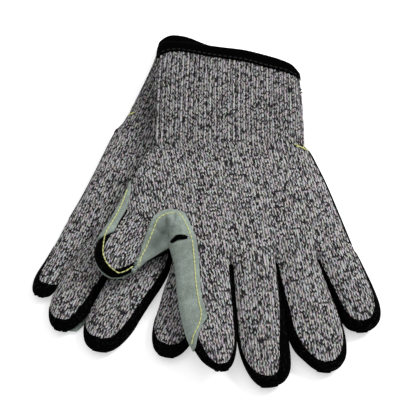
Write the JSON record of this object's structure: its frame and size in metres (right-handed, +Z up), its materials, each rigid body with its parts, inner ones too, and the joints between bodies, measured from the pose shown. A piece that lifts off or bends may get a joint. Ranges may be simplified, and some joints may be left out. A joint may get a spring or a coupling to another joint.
{
  "type": "cut resistant gloves",
  "caption": "Pair of marled knit cut resistant gloves with black coated palms, split leather patches, rib cuffs and bound edges, laid flat one on the other.",
  "frame": {"origin": "middle of the pair's footprint on the surface that it lies on", "axes": "+Z up, away from that surface; +Y from the fingertips towards the cuffs; +X towards the upper glove's little finger"},
  "size_m": [0.2124, 0.2668, 0.0294],
  "materials": {
    "knit": "plain jersey knit of light grey and near black marled yarn, matt",
    "rib_knit": "rib knit of the same marled yarn, matt",
    "coating": "matt black dipped coating on the knit",
    "leather": "grey green split leather with a short nap",
    "binding": "black overlocked edge binding, matt",
    "thread": "yellow sewing thread"
  },
  "bodies": {
    "right_hand": {"right_cuff_rib": "rib_knit", "right_cuff_binding": "binding", "right_wrist_tack": "thread", "right_hand_back": "knit", "right_hand_palm": "coating", "right_palm_patch": "leather", "right_crotch_patch": "leather"},
    "right_thumb": {"right_thumb_back": "knit", "right_thumb_palm": "coating", "right_thumb_patch": "leather"},
    "right_index": {"right_index_back": "knit", "right_index_palm": "coating", "right_index_patch": "leather", "right_index_strip": "leather"},
    "right_middle": {"right_middle_back": "knit", "right_middle_palm": "coating", "right_middle_patch": "leather"},
    "right_ring": {"right_ring_back": "knit", "right_ring_palm": "coating", "right_ring_patch": "leather"},
    "right_little": {"right_little_back": "knit", "right_little_palm": "coating", "right_little_patch": "leather"},
    "left_hand": {"left_cuff_rib": "rib_knit", "left_cuff_binding": "binding", "left_wrist_tack": "thread", "left_hand_back": "knit", "left_hand_palm": "coating", "left_palm_patch": "leather", "left_crotch_patch": "leather"},
    "left_thumb": {"left_thumb_back": "knit", "left_thumb_palm": "coating", "left_thumb_patch": "leather"},
    "left_index": {"left_index_back": "knit", "left_index_palm": "coating", "left_index_patch": "leather", "left_index_strip": "leather"},
    "left_middle": {"left_middle_back": "knit", "left_middle_palm": "coating", "left_middle_patch": "leather"},
    "left_ring": {"left_ring_back": "knit", "left_ring_palm": "coating", "left_ring_patch": "leather"},
    "left_little": {"left_little_back": "knit", "left_little_palm": "coating", "left_little_patch": "leather"}
  },
  "joints": [
    {"name": "left_glove_lift", "type": "slide", "parent": "right_hand", "child": "left_hand", "axis": [0, 0, 1], "range_m": [0, 0.15]},
    {"name": "right_thumb_curl", "type": "hinge", "parent": "right_hand", "child": "right_thumb", "pos_m": [0.04648, -0.0236, 0.006], "axis": [0.965, 0.2622, 0], "range_deg": [0, 70]},
    {"name": "right_index_curl", "type": "hinge", "parent": "right_hand", "child": "right_index", "pos_m": [0.00078, -0.04986, 0.006], "axis": [0.9239, -0.3827, 0], "range_deg": [0, 80]},
    {"name": "right_middle_curl", "type": "hinge", "parent": "right_hand", "child": "right_middle", "pos_m": [-0.03073, -0.04006, 0.006], "axis": [0.9225, -0.3859, 0], "range_deg": [0, 80]},
    {"name": "right_ring_curl", "type": "hinge", "parent": "right_hand", "child": "right_ring", "pos_m": [-0.05726, -0.03234, 0.006], "axis": [0.9239, -0.3827, 0], "range_deg": [0, 80]},
    {"name": "right_little_curl", "type": "hinge", "parent": "right_hand", "child": "right_little", "pos_m": [-0.08062, -0.024, 0.006], "axis": [0.9291, -0.3697, 0], "range_deg": [0, 80]},
    {"name": "left_thumb_lift", "type": "hinge", "parent": "left_hand", "child": "left_thumb", "pos_m": [-0.04105, -0.03215, 0.02185], "axis": [-0.9181, 0.3939, 0.0446], "range_deg": [0, 60]},
    {"name": "left_index_lift", "type": "hinge", "parent": "left_hand", "child": "left_index", "pos_m": [0.00048, -0.06451, 0.01955], "axis": [-0.9793, -0.1992, 0.0352], "range_deg": [0, 60]},
    {"name": "left_middle_lift", "type": "hinge", "parent": "left_hand", "child": "left_middle", "pos_m": [0.03303, -0.05919, 0.01835], "axis": [-0.9933, -0.1096, 0.0375], "range_deg": [0, 60]},
    {"name": "left_ring_lift", "type": "hinge", "parent": "left_hand", "child": "left_ring", "pos_m": [0.06035, -0.05524, 0.01734], "axis": [-0.9807, -0.1924, 0.0354], "range_deg": [0, 60]},
    {"name": "left_little_lift", "type": "hinge", "parent": "left_hand", "child": "left_little", "pos_m": [0.08463, -0.05023, 0.01647], "axis": [-0.9598, -0.2789, 0.0328], "range_deg": [0, 60]}
  ]
}
